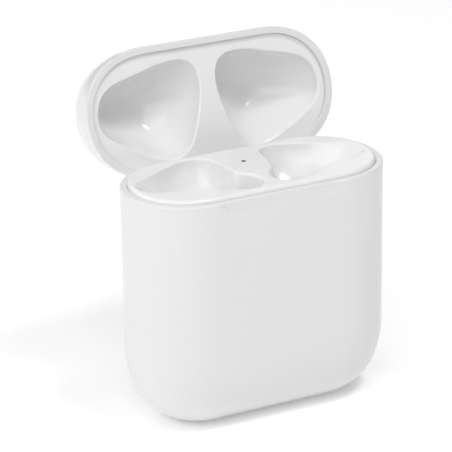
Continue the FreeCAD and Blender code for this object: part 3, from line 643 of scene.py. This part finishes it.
for side_name, side in (("left", -1), ("right", 1)):
    for end_name, y in (("front", -6.1), ("rear", -3.7)):
        name = "contact_pin_%s_%s" % (side_name, end_name)
        low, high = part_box(name)
        middle = ((low.x + high.x) / 2 / MM, (low.y + high.y) / 2 / MM, 0)
        bottom, top = low.z / MM, high.z / MM
        profile = [(0, bottom), (0.57, bottom), (0.6, bottom + 0.04), (0.6, bottom + 0.31),
                   (0.57, bottom + 0.35), (0.45, bottom + 0.35)]
        for rise, inset in quarter(8)[:-1]:
            profile.append((0.45 * (1 - inset) ** 0.8, top - 0.35 * (1 - rise)))
        profile.append((0, top))
        pin = lathe("visual_" + name, profile, middle, "z", 40)
        finish_piece(pin, name, "contact_gold", [name])


def coil(name, place, low, high, radius, wire, turns):
    """Compression spring of round wire, its end turns wound close."""
    skin = Skin()
    spin = np.linspace(0, 2 * math.pi, 10, endpoint=False)
    shares = np.linspace(0, 1, 24 * turns + 1)
    close_turn = 2.04 * wire
    height = high - low - 2 * wire
    levels = np.interp(shares, [0, 1 / turns, 1 - 1 / turns, 1],
                       [0, close_turn, height - close_turn, height])
    rings, middles = [], []
    for share, level in zip(shares, levels):
        turn = 2 * math.pi * turns * share
        outward = np.array((math.cos(turn), math.sin(turn), 0))
        middle = np.array((*place, low + wire + level)) + radius * outward
        middles.append(middle)
        rings.append(middle + wire * (np.cos(spin)[:, None] * outward
                                      + np.sin(spin)[:, None] * np.array((0, 0, 1))))
    start, end = skin.tube(rings)
    skin.close(start, middles[0])
    skin.close(end, middles[-1])
    return skin.build(name)


SPRING_RADIUS, SPRING_WIRE, SPRING_TURNS = 0.45, 0.1, 6
for joint in frame["joints"]:
    if not joint["name"].startswith("contact_pin"):
        continue
    name = joint["name"].replace("_travel", "").replace("contact_pin", "contact_spring")
    low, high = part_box(name)
    place = ((low.x + high.x) / 2 / MM, (low.y + high.y) / 2 / MM)
    spring = coil("visual_" + name, place, low.z / MM, high.z / MM,
                  SPRING_RADIUS, SPRING_WIRE, SPRING_TURNS)
    finish_piece(spring, "base", "spring_steel", [name], angle=60)
    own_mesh(spring)

ring_skin = Skin()
RING_OUTER, RING_MOUTH, RING_HEIGHT, RING_ROUND = 1.68, 1.28, 1.2, 0.14
section = [(RING_OUTER, RING_HEIGHT)]
for rise, inset in quarter(5):
    section.append((RING_OUTER - RING_ROUND * inset, RING_ROUND * (1 - rise)))
for rise, inset in quarter(5):
    section.append((RING_MOUTH + RING_ROUND * (1 - rise), RING_ROUND * inset))
section.append((RING_MOUTH, RING_HEIGHT))
first, last = ring_skin.tube([outline(PORT_HALF + r, r, z) for r, z in section])
ring_skin.bridge(last, first)
finish_piece(ring_skin.build("visual_port_trim_ring"), "base", "steel_satin", ["port_trim_ring"])

# ---------------------------------------------------------------- stage, light and camera

FLOOR_HALF, FLOOR_DROP, FLOOR_GLOW = 3.0, 0.02 * MM, 0.15

floor_mesh = bmesh.new()
bmesh.ops.create_grid(floor_mesh, x_segments=4, y_segments=4, size=FLOOR_HALF)
floor_data = bpy.data.meshes.new("studio_floor")
floor_mesh.to_mesh(floor_data)
floor_mesh.free()
floor = bpy.data.objects.new("studio_floor", floor_data)
floor.location.z = -FLOOR_DROP
bpy.context.scene.collection.objects.link(floor)
floor_finish = material("studio_floor", (0.93, 0.93, 0.93), (0.92, 0.92, 0.92),
                        rough=(0.6, 0.7), bump=0.0, ior=1.3)
floor_glow = floor_finish.node_tree.nodes["Principled BSDF"]
floor_glow.inputs["Emission Color"].default_value = (1, 1, 1, 1)
floor_glow.inputs["Emission Strength"].default_value = FLOOR_GLOW
floor_data.materials.append(floor_finish)


LIGHT_AIM, LIGHT_DISTANCE = Vector((0, 0, 0.03)), 0.8
WIDE, TIGHT = 0.42, 0.18
SOFTBOXES = (   # azimuth and elevation in degrees, power in watts, side in metres
    (60, 30, 0.1, WIDE), (90, 55, 0.45, WIDE), (105, 30, 0.1, WIDE), (150, 30, 0.45, WIDE),
    (180, 30, 0.85, WIDE), (240, 30, 1.25, WIDE), (270, 30, 0.65, WIDE), (300, 30, 1.0, WIDE),
    (315, 55, 0.8, WIDE), (350, 60, 0.55, WIDE), (335, 30, 0.95, WIDE), (30, 66, 1.65, TIGHT),
)

for azimuth, elevation, power, size in SOFTBOXES:
    turn, tilt = math.radians(azimuth), math.radians(elevation)
    away = Vector((math.sin(turn) * math.cos(tilt), -math.cos(turn) * math.cos(tilt),
                   math.sin(tilt)))
    name = "softbox_%03d_%02d" % (azimuth, elevation)
    lamp_data = bpy.data.lights.new(name, "AREA")
    lamp_data.shape = "RECTANGLE"
    lamp_data.size = lamp_data.size_y = size
    lamp_data.energy = power
    lamp = bpy.data.objects.new(name, lamp_data)
    lamp.location = LIGHT_AIM + away * LIGHT_DISTANCE
    lamp.rotation_euler = (-away).to_track_quat("-Z", "Y").to_euler()
    bpy.context.scene.collection.objects.link(lamp)

WORLD_STRENGTH = 0.22
world = bpy.data.worlds.new("studio")
bpy.context.scene.world = world
world.use_nodes = True
world.node_tree.nodes["Background"].inputs["Color"].default_value = (1, 1, 1, 1)
world.node_tree.nodes["Background"].inputs["Strength"].default_value = WORLD_STRENGTH
bpy.context.scene.view_settings.view_transform = "Standard"

CAMERA_AZIMUTH, CAMERA_ELEVATION, CAMERA_ROLL = (
    math.radians(degrees) for degrees in (-26.184, 21.982, -0.898)
)
CAMERA_TARGET = Vector((-3.869, 2.095, 30.363)) * MM
CAMERA_DISTANCE = 398.703 * MM
CAMERA_LENS, CAMERA_SENSOR = 197.567, 36
back = Vector((
    math.sin(CAMERA_AZIMUTH) * math.cos(CAMERA_ELEVATION),
    -math.cos(CAMERA_AZIMUTH) * math.cos(CAMERA_ELEVATION),
    math.sin(CAMERA_ELEVATION),
))
level = Vector((0, 0, 1)).cross(back).normalized()
upright = back.cross(level)
right = level * math.cos(CAMERA_ROLL) + upright * math.sin(CAMERA_ROLL)
up = upright * math.cos(CAMERA_ROLL) - level * math.sin(CAMERA_ROLL)
camera_data = bpy.data.cameras.new("camera")
camera_data.lens = CAMERA_LENS
camera_data.sensor_width = CAMERA_SENSOR
camera_data.clip_start = 0.01
camera = bpy.data.objects.new("camera", camera_data)
bpy.context.scene.collection.objects.link(camera)
rotation = Matrix((right, up, back)).transposed().to_4x4()
camera.matrix_world = Matrix.Translation(CAMERA_TARGET + back * CAMERA_DISTANCE) @ rotation
bpy.context.scene.camera = camera
